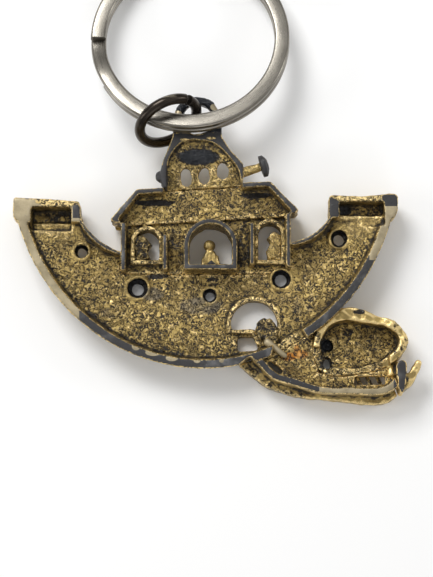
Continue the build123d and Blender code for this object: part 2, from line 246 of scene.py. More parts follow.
def specksGroup():
    # sharp chips and a soft cloud for slow changes of tone
    s = speckSet
    tree, ins, outs = group(
        "specks",
        [("Vector", "NodeSocketVector", (0, 0, 0)), ("Scale", "NodeSocketFloat", 900.0),
         ("Amount", "NodeSocketFloat", 0.4)],
        [("Chips", "NodeSocketFloat"), ("Cloud", "NodeSocketFloat")])
    vector, scale = ins.outputs["Vector"], ins.outputs["Scale"]
    field = noiseOf(tree, vector, scale, s["detail"], s["roughness"], s["distortion"])
    amount = calc(tree, "MULTIPLY", ins.outputs["Amount"], s["perAmount"])
    edge = calc(tree, "SUBTRACT", s["threshold"], amount)
    chips = spread(tree, field, edge, calc(tree, "ADD", edge, s["edge"]))
    cloud = noiseOf(tree, vector, calc(tree, "MULTIPLY", scale, s["cloudScale"]),
                    s["cloudDetail"], s["cloudRoughness"], s["cloudDistortion"])
    tree.links.new(chips, outs.inputs["Chips"])
    tree.links.new(cloud, outs.inputs["Cloud"])
    return tree


def hairlinesGroup():
    # fine drawn lines along the wire
    s = hairlineSet
    tree, ins, outs = group(
        "hairlines",
        [("Vector", "NodeSocketVector", (0, 0, 0)), ("Scale", "NodeSocketFloat", 900.0),
         ("Stretch", "NodeSocketFloat", 0.06)],
        [("Lines", "NodeSocketFloat"), ("Height", "NodeSocketFloat")])
    split = tree.nodes.new("ShaderNodeSeparateXYZ")
    tree.links.new(ins.outputs["Vector"], split.inputs[0])
    join = tree.nodes.new("ShaderNodeCombineXYZ")
    tree.links.new(calc(tree, "MULTIPLY", split.outputs[0], ins.outputs["Stretch"]), join.inputs[0])
    tree.links.new(split.outputs[1], join.inputs[1])
    tree.links.new(split.outputs[2], join.inputs[2])
    lines = noiseOf(tree, join.outputs[0], ins.outputs["Scale"], s["detail"], s["roughness"])
    tree.links.new(spread(tree, lines, s["low"], s["high"]), outs.inputs["Lines"])
    tree.links.new(lines, outs.inputs["Height"])
    return tree


wormGrain = wormGrainGroup()
specks = specksGroup()
hairlines = hairlinesGroup()


def placeGroup(tree, groupTree, vector, **values):
    node = tree.nodes.new("ShaderNodeGroup")
    node.node_tree = groupTree
    tree.links.new(vector, node.inputs["Vector"])
    for key, value in values.items():
        node.inputs[key].default_value = value
    return node


def attributeOf(tree, name):
    node = tree.nodes.new("ShaderNodeAttribute")
    node.attribute_name = name
    return node.outputs["Fac"]


def newMaterial(name):
    mat = bpy.data.materials.new(name)
    mat.use_nodes = True
    tree = mat.node_tree
    coords = tree.nodes.new("ShaderNodeTexCoord")
    return mat, tree, tree.nodes["Principled BSDF"], coords.outputs["Object"]


# the casting's finish

castSet = {
    "gold": (0.56, 0.41, 0.150, 1),
    # bright gold for raised edges: rubbed plating and painted highlight
    "bright": (0.92, 0.70, 0.32, 1),
    "dull": (0.33, 0.24, 0.095, 1),
    "patina": (0.010, 0.0065, 0.003, 1),
    "lacquer": (0.008, 0.010, 0.014, 1),  # glossy blue-black runs
    "amber": (0.62, 0.20, 0.02, 1),
    "beigeRim": (0.44, 0.37, 0.24, 1),
    "beigeDull": (0.27, 0.225, 0.14, 1),
    "zinc": (0.052, 0.051, 0.052, 1),
    "zincPale": (0.15, 0.15, 0.15, 1),
    "speckScale": 1300.0, "speckAmount": 0.35,
    "grainDark": 0.96, "creaseDark": 0.85,  # how black the ground and the hollows go; the hollows' dark is partly patina, partly painted shade
    "stainAndShadeScale": 1700.0, "stainAndShadeRagged": 1.9,
    "rimScale": 1500.0, "rimRagged": 0.9, "rimChips": 0.8,
    "metallic": 0.95, "darkMetallic": -0.80, "rimMetallic": 0.6,
    "roughness": 0.38, "darkRoughness": 0.16, "stainAndShadeRoughness": -0.28, "rimRoughness": 0.14,
    "bump": 0.70, "bumpDepth": 0.00010, "cloudHeight": 0.3,
}


def castMaterial(name):
    # antique gold over rough zinc: dark hollows (patina and painted shade), bright edges (rubbed plating
    # and painted highlight), ground rims
    s = castSet
    mat, tree, shader, place = newMaterial(name)
    link = tree.links.new
    worm = placeGroup(tree, wormGrain, place, Scale=grainSet["scale"], Level=grainSet["level"])
    chip = placeGroup(tree, specks, place, Scale=s["speckScale"], Amount=s["speckAmount"])
    drift = chip.outputs["Cloud"]  # slow changes of tone
    hollow = attributeOf(tree, "hollow")
    # these values carry real stains and painted shade
    stainAndShade = attributeOf(tree, "stainAndShade")
    cloud = calc(tree, "SUBTRACT", drift, 0.5)
    # where it is dark: the grain's ground, patina and painted shade in the hollows, stains and painted
    # shade
    grainAmount = calc(tree, "SUBTRACT", 1.0, attributeOf(tree, "polish"), clamp=True)
    wormDark = calc(tree, "MULTIPLY", calc(tree, "SUBTRACT", 1.0, worm.outputs["Mask"]), grainAmount)
    # darker in the hollows and creases: partly patina, partly painted shade
    crease = spread(tree, calc(tree, "MULTIPLY_ADD", cloud, 0.5, hollow), 0.30, 0.85)
    ragged = calc(tree, "SUBTRACT", noiseOf(tree, place, s["stainAndShadeScale"], 4.0, 0.65), 0.5)
    stainAndShadeMask = spread(tree, calc(tree, "MULTIPLY_ADD", ragged, s["stainAndShadeRagged"], stainAndShade), 0.35, 0.75)
    creaseDark = calc(tree, "MULTIPLY", crease, s["creaseDark"])
    dark = calc(tree, "MULTIPLY_ADD", wormDark, s["grainDark"], creaseDark)
    dark = calc(tree, "ADD", dark, stainAndShadeMask, clamp=True)
    # the dark colour: patina, going to glossy lacquer where stains and painted shade are strongest
    patinaAndShade = blendColour(tree, spread(tree, stainAndShade, 0.85, 1.1), s["patina"], s["lacquer"])
    # the plating
    # brighter gold on raised edges: partly rubbed plating, partly painted highlight
    bright = spread(tree, calc(tree, "MULTIPLY_ADD", cloud, 0.4, hollow), -0.08, -0.45)
    toned = blendColour(tree, spread(tree, drift, 0.38, 0.68), s["gold"], s["dull"])
    gold = blendColour(tree, bright, toned, s["bright"])
    gold = blendColour(tree, attributeOf(tree, "amber"), gold, s["amber"])
    worn = calc(tree, "MULTIPLY_ADD", cloud, 1.5, attributeOf(tree, "worn"))
    gold = blendColour(tree, spread(tree, worn, 0.3, 0.9, 0.0, 0.6), gold, s["zincPale"])
    plated = blendColour(tree, dark, gold, patinaAndShade)
    # the ground rim
    grey = blendColour(tree, spread(tree, drift, 0.50, 0.75), s["zinc"], s["zincPale"])
    rubbed = blendColour(tree, spread(tree, drift, 0.35, 0.70), s["beigeRim"], s["beigeDull"])
    ground = blendColour(tree, spread(tree, attributeOf(tree, "tone"), 0.42, 0.58), grey, rubbed)
    chips = calc(tree, "MULTIPLY", chip.outputs["Chips"], s["rimChips"])
    ground = blendColour(tree, chips, ground, s["zincPale"])
    rimNoise = calc(tree, "SUBTRACT", noiseOf(tree, place, s["rimScale"], 3.0, 0.6), 0.5)
    rimEdge = calc(tree, "MULTIPLY_ADD", rimNoise, s["rimRagged"], attributeOf(tree, "rim"))
    rimMask = spread(tree, rimEdge, 0.42, 0.58)
    keep = calc(tree, "SUBTRACT", 1.0, rimMask)
    link(blendColour(tree, rimMask, plated, ground), shader.inputs["Base Color"])
    metal = calc(tree, "MULTIPLY_ADD", dark, s["darkMetallic"], s["metallic"])
    rimMetal = calc(tree, "MULTIPLY", rimMask, s["rimMetallic"])
    link(calc(tree, "MULTIPLY_ADD", metal, keep, rimMetal), shader.inputs["Metallic"])
    rough = calc(tree, "MULTIPLY_ADD", dark, s["darkRoughness"], s["roughness"])
    rough = calc(tree, "MULTIPLY_ADD", stainAndShadeMask, s["stainAndShadeRoughness"], rough)
    link(calc(tree, "MULTIPLY_ADD", rimMask, s["rimRoughness"], rough), shader.inputs["Roughness"])
    height = calc(tree, "MULTIPLY", worm.outputs["Height"], calc(tree, "MULTIPLY", grainAmount, keep))
    height = calc(tree, "MULTIPLY_ADD", drift, s["cloudHeight"], height)
    bump = tree.nodes.new("ShaderNodeBump")
    bump.inputs["Strength"].default_value = s["bump"]
    bump.inputs["Distance"].default_value = s["bumpDepth"]
    link(height, bump.inputs["Height"])
    link(bump.outputs["Normal"], shader.inputs["Normal"])
    return mat


castSkin = castMaterial("antiqueGoldCast")


# making cast pieces from the frame

def joined(nodeNames, grow=0.0):
    form = bmesh.new()
    for nodeName in nodeNames:
        single = bmesh.new()
        single.from_mesh(frame["nodes"][nodeName].data)
        bmesh.ops.remove_doubles(single, verts=single.verts, dist=0.000001)
        if grow:
            single.normal_update()
            for vert in single.verts:
                vert.co += vert.normal * grow
        copy = bpy.data.meshes.new("copy")
        single.to_mesh(copy)
        single.free()
        form.from_mesh(copy)
        bpy.data.meshes.remove(copy)
    mesh = bpy.data.meshes.new("joined")
    form.to_mesh(mesh)
    form.free()
    return mesh


def bake(obj, name):
    bpy.context.view_layer.update()
    mesh = bpy.data.meshes.new_from_object(obj.evaluated_get(bpy.context.evaluated_depsgraph_get()))
    old = obj.data
    bpy.data.objects.remove(obj)
    bpy.data.meshes.remove(old)
    mesh.name = name
    return mesh


def points(mesh):
    co = np.zeros(len(mesh.vertices) * 3)
    mesh.vertices.foreach_get("co", co)
    return co.reshape(-1, 3)


def normals(mesh):
    nor = np.zeros(len(mesh.vertices) * 3)
    mesh.vertex_normals.foreach_get("vector", nor)
    return nor.reshape(-1, 3)


def relax(co, edges, rounds):
    count = np.zeros(len(co))
    np.add.at(count, edges[:, 0], 1)
    np.add.at(count, edges[:, 1], 1)
    count = np.maximum(count, 1)[:, None]
    out = co.copy()
    for _ in range(rounds):
        total = np.zeros_like(out)
        for axis in range(3):
            total[:, axis] = (np.bincount(edges[:, 0], out[edges[:, 1], axis], len(out))
                              + np.bincount(edges[:, 1], out[edges[:, 0], axis], len(out)))
        out = 0.5 * out + 0.5 * total / count
    return out


def addValue(mesh, name, values):
    layer = mesh.attributes.new(name, "FLOAT", "POINT")
    layer.data.foreach_set("value", np.asarray(values, np.float32))


def addValues(mesh, given):
    # every value that the casting's finish reads, nought where none is given
    for key in ("hollow", "rim", "tone", "polish", "stainAndShade", "worn", "amber"):
        addValue(mesh, key, given.get(key, np.zeros(len(mesh.vertices))))


def addPiece(name, mesh, slotName, body, *nodeNames):
    piece = bpy.data.objects.new(name, mesh)
    scene.collection.objects.link(piece)
    if nodeNames:
        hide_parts(*nodeNames)
    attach(piece, body)


def edgesOf(mesh):
    edges = np.zeros(len(mesh.edges) * 2, np.int64)
    mesh.edges.foreach_get("vertices", edges)
    return edges.reshape(-1, 2)


def moveTo(mesh, co):
    mesh.vertices.foreach_set("co", co.ravel())
    mesh.update()


def ramp(value, start, reach):
    # 0 up to start, 1 from start + reach
    return np.clip((value - start) / reach, 0, 1)


def deepen(values, key, amount):
    values[key] = np.maximum(values[key], amount)


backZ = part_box("hull_shell")[1].z  # the ground back plane

castForm = {  # what a cast piece takes unless its own dictionary says otherwise; lengths in mm
    "voxel": 0.15, "soften": 3, "grow": 0.02, "lump": 0.05, "lumpSize": 0.9, "polish": 0.0,
}
readSet = {  # how a finished surface is read for its wear; lengths in mm
    "fineRounds": 5, "fineHeight": 0.02, "fineShare": 0.35,
    "broadRounds": 40, "broadHeight": 0.16, "broadShare": 0.5,
    "calmDepth": 0.10, "calmOver": 0.15,  # the lumps die away just below the back plane
    "flatFrom": 0.80, "flatOver": 0.15,  # how far up a surface faces to be ground
    "rimDepth": 0.22, "rimOver": 0.16,  # how near the back plane it lies to be ground
    "backFrom": -0.35, "backOver": 0.3,  # stains and painted shade stay on what faces the back
    "overTop": 0.01,
}
spotReach = 1.7  # a spot fades out where its squared distance reaches this
paintSet = {
    # x, y, reach along x, reach along y in mm, strength
    # real stains, and painted shade in the creases under the ridges
    "stainAndShade": [
        (-2.3, 1.75, 2.4, 0.95, 1.25), (-7.8, -3.8, 2.4, 0.4, 0.95), (4.9, -2.85, 1.9, 0.35, 0.95),
        (-5.1, -9.4, 0.8, 3.6, 0.50), (3.35, -9.3, 0.85, 3.6, 0.55), (-7.4, -13.0, 1.4, 0.35, 0.9),
        (-0.5, -13.7, 0.8, 0.6, 0.6), (13.6, -21.7, 0.85, 0.8, 1.2), (13.6, -24.0, 0.9, 1.0, 0.8),
        (17.6, -17.8, 0.7, 0.3, 0.9), (16.2, -20.0, 0.8, 0.5, 0.8), (12.4, -20.9, 0.5, 0.9, 0.6),
        (-19.4, -5.6, 2.5, 0.75, 0.62), (15.9, -4.8, 1.0, 0.6, 1.1), (18.6, -4.9, 2.6, 0.6, 0.5)],
    "worn": [
        (-8.2, -15.2, 1.6, 0.8, 0.7), (-2.0, -16.7, 2.6, 1.1, 0.7), (-12.5, -17.6, 1.8, 1.0, 0.5),
        (10.8, -16.5, 1.2, 1.6, 0.4)],
    "amber": [(8.9, -23.2, 0.9, 0.45, 0.8), (10.3, -22.9, 0.9, 0.5, 0.55), (9.9, -22.3, 0.3, 0.6, 0.5)],
    "beige": [
        (-9.9, -22.1, 0.5, 0.5, 1.0), (-7.8, -22.9, 0.9, 0.4, 1.0), (-5.5, -23.6, 0.7, 0.35, 1.0),
        (-2.4, -23.9, 0.4, 0.3, 1.0), (0.6, -23.9, 0.3, 0.3, 0.8)],
    "plated": [(-19.6, -4.0, 2.6, 0.7, 1.0), (17.6, -3.4, 2.9, 0.8, 1.0)],
}
rimSet = {  # where the ground rim keeps worn plating, in mm
    "left": -16.9, "leftCorner": (-17.9, -6.2),
    "right": 18.9, "rightLow": -11.4, "rightCorner": (20.6, -4.6),
    "rampTop": -22.6, "rampEnds": (12.6, 21.7),
}


def blobs(co, rows):
    x, y = co[:, 0] / mm, co[:, 1] / mm
    total = np.zeros(len(co))
    for cx, cy, rx, ry, strength in rows:
        away = ((x - cx) / rx) ** 2 + ((y - cy) / ry) ** 2
        total = np.maximum(total, strength * np.clip(spotReach - away, 0, 1))
    return total


def rimTone(co):
    # 1 where the ground rim keeps worn plating, 0 where it is bare zinc
    s = rimSet
    x, y = co[:, 0] / mm, co[:, 1] / mm
    left = (x < s["left"]) & ~((x > s["leftCorner"][0]) & (y > s["leftCorner"][1]))
    right = (x > s["right"]) & (y > s["rightLow"])
    right &= ~((x > s["rightCorner"][0]) & (y > s["rightCorner"][1]))
    onRamp = (y < s["rampTop"]) & (x > s["rampEnds"][0]) & (x < s["rampEnds"][1])
    return np.maximum((left | right | onRamp).astype(float), blobs(co, paintSet["beige"]))


def waves(co, size):
    # smooth lumps of two sizes with no visible repeat
    x, y, z = (co / (size * mm)).T
    large = np.sin(x * 1.7 + 1.3 * np.sin(y * 1.1 + z)) * np.sin(y * 1.9 + 1.7 * np.sin(z * 1.3 + x * 0.7))
    small = np.sin(x * 4.1 + 2.0 * np.sin(y * 2.3)) * np.sin(y * 3.7 + z * 2.9 + 1.4 * np.sin(x * 2.1))
    return large + 0.5 * small


def castPiece(name, settings, shape=None, touch=None):
    # the named nodes become one skin with rounded edges and a rough cast surface
    s, r = {**castForm, **settings}, readSet
    obj = bpy.data.objects.new(name, joined(s["nodes"], s["grow"] * mm))
    scene.collection.objects.link(obj)
    remesh = obj.modifiers.new("voxels", "REMESH")
    remesh.mode = "VOXEL"
    remesh.voxel_size = s["voxel"] * mm
    mesh = bake(obj, name)
    edges = edgesOf(mesh)
    co = relax(points(mesh), edges, s["soften"])
    moveTo(mesh, co)
    nor = normals(mesh)
    calm = ramp(backZ - co[:, 2], r["calmDepth"] * mm, r["calmOver"] * mm)
    co = co + nor * (waves(co, s["lumpSize"]) * calm * s["lump"] * mm)[:, None]
    if shape:
        co = shape(co, nor)
    top = max(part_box(nodeName)[1].z for nodeName in s["nodes"])
    co[:, 2] = np.clip(co[:, 2], 0.0, top + r["overTop"] * mm)
    moveTo(mesh, co)
    nor = normals(mesh)
    fine = ((relax(co, edges, r["fineRounds"]) - co) * nor).sum(1) / (r["fineHeight"] * mm)
    broad = ((relax(co, edges, r["broadRounds"]) - co) * nor).sum(1) / (r["broadHeight"] * mm)
    flat = ramp(nor[:, 2], r["flatFrom"], r["flatOver"])
    high = ramp(co[:, 2], backZ - r["rimDepth"] * mm, r["rimOver"] * mm)
    back = ramp(nor[:, 2], r["backFrom"], r["backOver"])
    values = {
        "hollow": np.clip(r["fineShare"] * fine + r["broadShare"] * broad, -1, 1),
        "rim": flat * high * (1 - blobs(co, paintSet["plated"])),
        "tone": rimTone(co),
        "polish": np.full(len(co), s["polish"]),
        "stainAndShade": blobs(co, paintSet["stainAndShade"]) * back * (1 - high),
        "worn": blobs(co, paintSet["worn"]) * back,
        "amber": blobs(co, paintSet["amber"]) * back,
    }
    if touch:
        touch(co, nor, values)
    addValues(mesh, values)
    mesh.materials.clear()
    mesh.materials.append(castSkin)
    mesh.polygons.foreach_set("use_smooth", np.ones(len(mesh.polygons), bool))
    mesh.update()
    addPiece(name, mesh, "gold_plate", "ark", *s["nodes"])
    print(name, len(mesh.polygons) * 2, "triangles")


# hull

collars = [f"porthole_collar_{n}" for n in range(1, 6)]
hullSet = {
    "nodes": ["hull_shell", "bow_cap", "stern_cap", "hatch_frame"] + collars,
    # portholes, as shares of the collar's radius
    "lip": (0.8, 1.12), "lipPolish": 0.5, "aroundLip": 1.25, "aroundHollow": -0.16,
    "socket": 0.97, "socketDepth": 0.12, "socketOver": 0.15, "socketDark": 0.95,
    # painted shade where the dish meets its wall: the ellipse inside the rim, in mm, and shares of it
    "middle": (-1.55, 1.0), "inner": (23.1, 24.8), "dishDepth": 0.5,
    "wallFrom": 0.88, "wallOver": 0.10, "wallTo": 1.03,
    "wallSplit": 3.0, "leftShade": 0.52, "rightShade": 0.30,
    # smoother decks behind the end caps
    "deckFrom": -9.3, "deckOver": 2.0, "deckBeyond": 11.0, "deckPolish": 0.45,
}


def touchHull(co, nor, values):
    s = hullSet
    for collar in collars:
        low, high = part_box(collar)
        middle, reach = (low + high) / 2, (high.x - low.x) / 2
        away = np.hypot(co[:, 0] - middle.x, co[:, 1] - middle.y) / reach
        # darker inside each porthole's socket, below the collar's top
        sunk = ramp(high.z - co[:, 2], s["socketDepth"] * mm, s["socketOver"] * mm)
        deepen(values, "stainAndShade", s["socketDark"] * sunk * (away < s["socket"]) * (nor[:, 2] > -0.5))
        onLip = (away > s["lip"][0]) & (away < s["lip"][1])
        values["polish"] = np.where(onLip, s["lipPolish"], values["polish"])
        dulled = np.maximum(values["hollow"], s["aroundHollow"])
        values["hollow"] = np.where(away < s["aroundLip"], dulled, values["hollow"])
    x, y = co[:, 0] / mm, co[:, 1] / mm
    inDish = co[:, 2] < backZ - s["dishDepth"] * mm
    inset = np.hypot((x - s["middle"][0]) / s["inner"][0], (y - s["middle"][1]) / s["inner"][1])
    shade = ramp(inset, s["wallFrom"], s["wallOver"]) * inDish * (nor[:, 2] > -0.2) * (inset < s["wallTo"])
    # painted shade in a band inside the rim wall, stronger on the left
    deepen(values, "stainAndShade", shade * np.where(x < s["wallSplit"], s["leftShade"], s["rightShade"]))
    deck = ramp(y, s["deckFrom"], s["deckOver"]) * (np.abs(x) > s["deckBeyond"]) * inDish
    deepen(values, "polish", s["deckPolish"] * deck)


castPiece("hull", hullSet, touch=touchHull)


# cabin and pilot house

cabinSet = {
    "nodes": ["cabin_wall", "cabin_roof", "window_frame_left", "window_frame_centre", "window_frame_right"],
    "voxel": 0.13,
}
pilotHouseSet = {
    "nodes": ["cupola", "hanging_loop", "cupola_knob"],
    "voxel": 0.11, "lump": 0.07, "polish": 0.15,
    "loopFrom": 4.35, "loopOver": 0.5, "loopStainAndShade": 1.3,  # the loop and the top are painted nearly black: dark glossy runs on the top, painted shade on the loop's inner surface
    "patches": [(-4.9, 7.1, 0.5, 0.35, 1), (-0.3, 7.9, 0.45, 0.4, 1), (-1.6, 7.1, 0.3, 0.3, 1)],
    # bright gold spots on the dark loop and top: partly bare plating, partly painted highlight
    "giltAndGlint": [(-3.2, 8.4, 0.35, 0.35, 1), (-4.0, 3.75, 0.55, 0.16, 0.8), (-0.7, 3.95, 0.6, 0.16, 0.8)],
    "giltAndGlintFrom": 0.4, "giltAndGlintHollow": -0.6,
    # painted shade on the steep jambs of the small window panes
    "panes": [(-3.85, -0.7, 0.55, 0.8, 1), (-1.55, -0.5, 0.55, 0.8, 1), (0.75, 0.1, 0.58, 0.78, 1)],
    "paneShade": 0.9, "paneSteep": 0.7,
    "knobRight": -6.15, "knobTop": 0.5,
    # inside the bowl, darker towards the top
    "bowlTop": 3.2, "bowlDepth": 0.5, "bowlDarkening": 0.28, "bowlRise": 0.10, "bowlMost": 0.5,
}


def touchPilotHouse(co, nor, values):
    s = pilotHouseSet
    x, y = co[:, 0] / mm, co[:, 1] / mm
    loop = ramp(y, s["loopFrom"], s["loopOver"])
    patches, giltAndGlint = blobs(co, s["patches"]), blobs(co, s["giltAndGlint"])
    # the loop and top painted nearly black, partly painted shade; the bright gold spots stay clear
    values["stainAndShade"] = np.maximum(values["stainAndShade"], s["loopStainAndShade"] * loop) * (1 - giltAndGlint)
    values["rim"] = values["rim"] * (1 - loop) * (1 - giltAndGlint) + patches * loop
    deepen(values, "tone", patches)
    # these spots take the bright edge colour: partly a painted highlight
    values["hollow"] = np.where(giltAndGlint > s["giltAndGlintFrom"], s["giltAndGlintHollow"], values["hollow"])
    values["rim"] = np.where((x < s["knobRight"]) & (y < s["knobTop"]), 1.0, values["rim"])
    # painted shade on the panes' steep jambs
    deepen(values, "stainAndShade", s["paneShade"] * blobs(co, s["panes"]) * (np.abs(nor[:, 2]) < s["paneSteep"]))
    # darker towards the top inside the bowl
    bowl = (y < s["bowlTop"]) & (co[:, 2] < backZ - s["bowlDepth"] * mm) & (nor[:, 2] > 0)
    deepen(values, "stainAndShade", bowl * np.clip(s["bowlDarkening"] + s["bowlRise"] * y, 0, s["bowlMost"]))


castPiece("cabin", cabinSet)
castPiece("pilotHouse", pilotHouseSet, touch=touchPilotHouse)


# gangway and the large animal

gangwaySet = {
    "nodes": ["gangway_floor", "gangway_edge", "gangway_skirt"], "voxel": 0.12,
    "edgeDepth": 0.3, "edgeSteep": 0.8, "edgePolish": 0.8,
    "skirtTop": 2.4, "skirtPolish": 0.7, "skirtStain": 0.5, "skirtEnd": 11.0,
}
bigAnimalSet = {
    "nodes": ["big_animal", "animal_foot", "animal_trunk", "animal_leg"],
    "voxel": 0.12, "lump": 0.10, "lumpSize": 1.3,
    "bed": (17.6, -21.6), "bedReach": (4.9, 2.9), "bedTop": 3.4,  # the rough hollow of the body
    "sideTop": 3.5, "sideBelow": -21.0, "sideEnd": 20.5,
    "smooth": 0.85, "bedStain": 0.38,
    "foot": (21.8, 23.6), "footLow": -27.8, "footBase": 2.5, "footStain": 0.45,
}


def touchGangway(co, nor, values):
    s = gangwaySet
    outer = (co[:, 2] < backZ - s["edgeDepth"] * mm) & (np.abs(nor[:, 2]) < s["edgeSteep"])
    values["polish"] = np.where(outer, s["edgePolish"], values["polish"])
    skirt = co[:, 2] < s["skirtTop"] * mm
    values["polish"] = np.where(skirt, s["skirtPolish"], values["polish"])
    deepen(values, "stainAndShade", s["skirtStain"] * skirt * (co[:, 0] / mm < s["skirtEnd"]))


def touchBigAnimal(co, nor, values):
    s = bigAnimalSet
    x, y, z = (co / mm).T
    inside = ((x - s["bed"][0]) / s["bedReach"][0]) ** 2 + ((y - s["bed"][1]) / s["bedReach"][1]) ** 2 < 1
    side = (z < s["sideTop"]) & (y < s["sideBelow"]) & (x < s["sideEnd"]) & (nor[:, 2] > 0.2)
    bed = (inside & (z < s["bedTop"])) | side
    values["polish"] = np.where(bed, 0.0, s["smooth"])
    deepen(values, "stainAndShade", s["bedStain"] * (bed & (nor[:, 2] > 0)))
    foot = (x > s["foot"][0]) & (x < s["foot"][1]) & (y > s["footLow"])
    values["tone"] = np.where(foot, 0.0, values["tone"])
    deepen(values, "stainAndShade", s["footStain"] * (foot & (z > s["footBase"])))


castPiece("gangway", gangwaySet, touch=touchGangway)
castPiece("bigAnimal", bigAnimalSet, touch=touchBigAnimal)


# the small animals and the window figure

smallDarkening = {"amount": 0.5, "facing": -0.3}
doorAnimalSet = {
    "nodes": ["hatch_animal"], "voxel": 0.09, "lump": 0.10, "lumpSize": 0.5,
    "neckStart": (6.1, -21.2), "neckWay": (0.75, 0.66), "neckOffset": 0.15,
    "neckLength": (0.2, 2.6), "neckHalf": 0.28, "stainAndShade": 0.55,
}
figureSet = {
    "nodes": ["window_figure"], "voxel": 0.055, "lump": 0.01, "polish": 0.6,
    "head": (-0.9, -9.245), "headRadius": 0.72,
    # sizes and heights as shares of the head's radius, depths in mm
    "eyesApart": 0.34, "eyeHeight": 0.05, "eyeSize": (0.15, 0.10), "eyeDepth": 0.07,
    "noseHeight": -0.12, "noseSize": (0.11, 0.20), "noseDepth": 0.10,
    "mouthHeight": -0.50, "mouthSize": (0.24, 0.06), "mouthDepth": 0.06,
    "folds": 9.0, "foldSway": 1.2, "foldDepth": 0.05, "robeTop": 0.9,
    "sillPeak": (-0.65, -11.1), "sillSlope": 0.9, "sillOver": 0.12,
}
leftAnimalSet = {"nodes": ["window_animal_left"], "voxel": 0.09, "lump": 0.10, "lumpSize": 0.6}
rightAnimalSet = {
    "nodes": ["window_animal_right"], "voxel": 0.09, "lump": 0.08, "lumpSize": 0.6, "polish": 0.3,
}
neckSet = {
    "from": (5.9, -21.1, 2.9), "to": (8.7, -23.35, 3.15), "wide": 0.52, "narrow": 0.34,
    "ripple": 0.06, "arch": 0.12, "flatness": 0.8, "rings": 26, "sides": 20,
    "polish": 0.6, "stainAndShade": 0.6, "wornFrom": 0.35, "wornOver": 0.3,
}


def touchDark(co, nor, values):
    # darkens all but the faces turned to the floor; on the left animal this is painted shade of its window
    deepen(values, "stainAndShade", smallDarkening["amount"] * (nor[:, 2] > smallDarkening["facing"]))


def touchDoorAnimal(co, nor, values):
    s = doorAnimalSet
    x, y = co[:, 0] / mm - s["neckStart"][0], co[:, 1] / mm - s["neckStart"][1]
    along = x * s["neckWay"][0] - y * s["neckWay"][1]
    across = np.abs(x * s["neckWay"][1] + y * s["neckWay"][0] - s["neckOffset"])
    neck = (along > s["neckLength"][0]) & (along < s["neckLength"][1]) & (across < s["neckHalf"])
    neck &= nor[:, 2] > 0.3
    values["rim"] = np.where(neck, 1.0, values["rim"])
    values["tone"] = np.where(neck, 1.0, values["tone"])
    deepen(values, "stainAndShade", s["stainAndShade"] * ~neck)


def dent(u, v, size):
    return np.exp(-(u / size[0]) ** 2 - (v / size[1]) ** 2)


def carveFigure(co, nor):
    # a calm, plain face on the front and folds down the robe
    s = figureSet
    u = (co[:, 0] / mm - s["head"][0]) / s["headRadius"]
    v = (co[:, 1] / mm - s["head"][1]) / s["headRadius"]
    front = np.clip(-nor[:, 2], 0, 1) * (np.hypot(u, v) < 0.95)
    eyes = dent(np.abs(u) - s["eyesApart"], v - s["eyeHeight"], s["eyeSize"])
    nose = dent(u, v - s["noseHeight"], s["noseSize"])
    mouth = dent(u, v - s["mouthHeight"], s["mouthSize"])
    face = (s["noseDepth"] * nose - s["eyeDepth"] * eyes - s["mouthDepth"] * mouth) * front
    robe = ramp(-v, s["robeTop"], 1.0)
    folds = s["foldDepth"] * np.sin(u * s["folds"] + s["foldSway"] * np.sin(v * 2.0)) * robe
    return co + nor * ((face + folds) * mm)[:, None]


def touchFigure(co, nor, values):
    # the small ground peak of the sill below the figure
    s = figureSet
    x, y = co[:, 0] / mm, co[:, 1] / mm
    edge = s["sillPeak"][1] - s["sillSlope"] * np.abs(x - s["sillPeak"][0])
    peak = ramp(edge - y, 0.0, s["sillOver"]) * (nor[:, 2] > 0)
    deepen(values, "rim", peak)
    values["tone"] = values["tone"] * (1 - peak)


def neckBar():
    # the rubbed bar of the small animal's neck, tapering down on to the gangway
    s = neckSet
    start, end = np.array(s["from"]), np.array(s["to"])
    along = (end - start) / np.linalg.norm(end - start)
    side = np.cross(along, (0, 0, 1))
    side /= np.linalg.norm(side)
    up = np.cross(side, along)
    form = bmesh.new()
    rows = []
    for k in range(s["rings"] + 1):
        t = k / s["rings"]
        blunt = math.sqrt(max(0.004, 1 - (2 * t - 1) ** 8))  # rounds both ends off
        radius = (s["wide"] + (s["narrow"] - s["wide"]) * t) * blunt * (1 + s["ripple"] * math.sin(9 * t))
        middle = start + (end - start) * t + up * s["arch"] * math.sin(math.pi * t)
        row = []
        for n in range(s["sides"]):
            a = 2 * math.pi * n / s["sides"]
            out = side * math.cos(a) + up * s["flatness"] * math.sin(a)
            row.append(form.verts.new((middle + out * radius) * mm))
        rows.append(row)
    for a, b in zip(rows, rows[1:]):
        for n in range(s["sides"]):
            m = (n + 1) % s["sides"]
            form.faces.new((a[n], a[m], b[m], b[n])).smooth = True
    form.faces.new(rows[0])
    form.faces.new(rows[-1])
    bmesh.ops.recalc_face_normals(form, faces=form.faces)
    mesh = bpy.data.meshes.new("neckBar")
    form.to_mesh(mesh)
    form.free()
    nor = normals(mesh)
    worn = ramp(nor[:, 2], s["wornFrom"], s["wornOver"])
    polish = np.full(len(nor), s["polish"])
    addValues(mesh, {"rim": worn, "tone": worn, "polish": polish, "stainAndShade": s["stainAndShade"] * (1 - worn)})
    mesh.materials.append(castSkin)
    addPiece("neckBar", mesh, "gold_plate", "ark")


castPiece("doorAnimal", doorAnimalSet, touch=touchDoorAnimal)
castPiece("windowFigure", figureSet, shape=carveFigure, touch=touchFigure)
# the left animal is darkened as painted shade of the window opening it sits in
castPiece("leftAnimal", leftAnimalSet, touch=touchDark)
castPiece("rightAnimal", rightAnimalSet)
neckBar()


# peg and slats

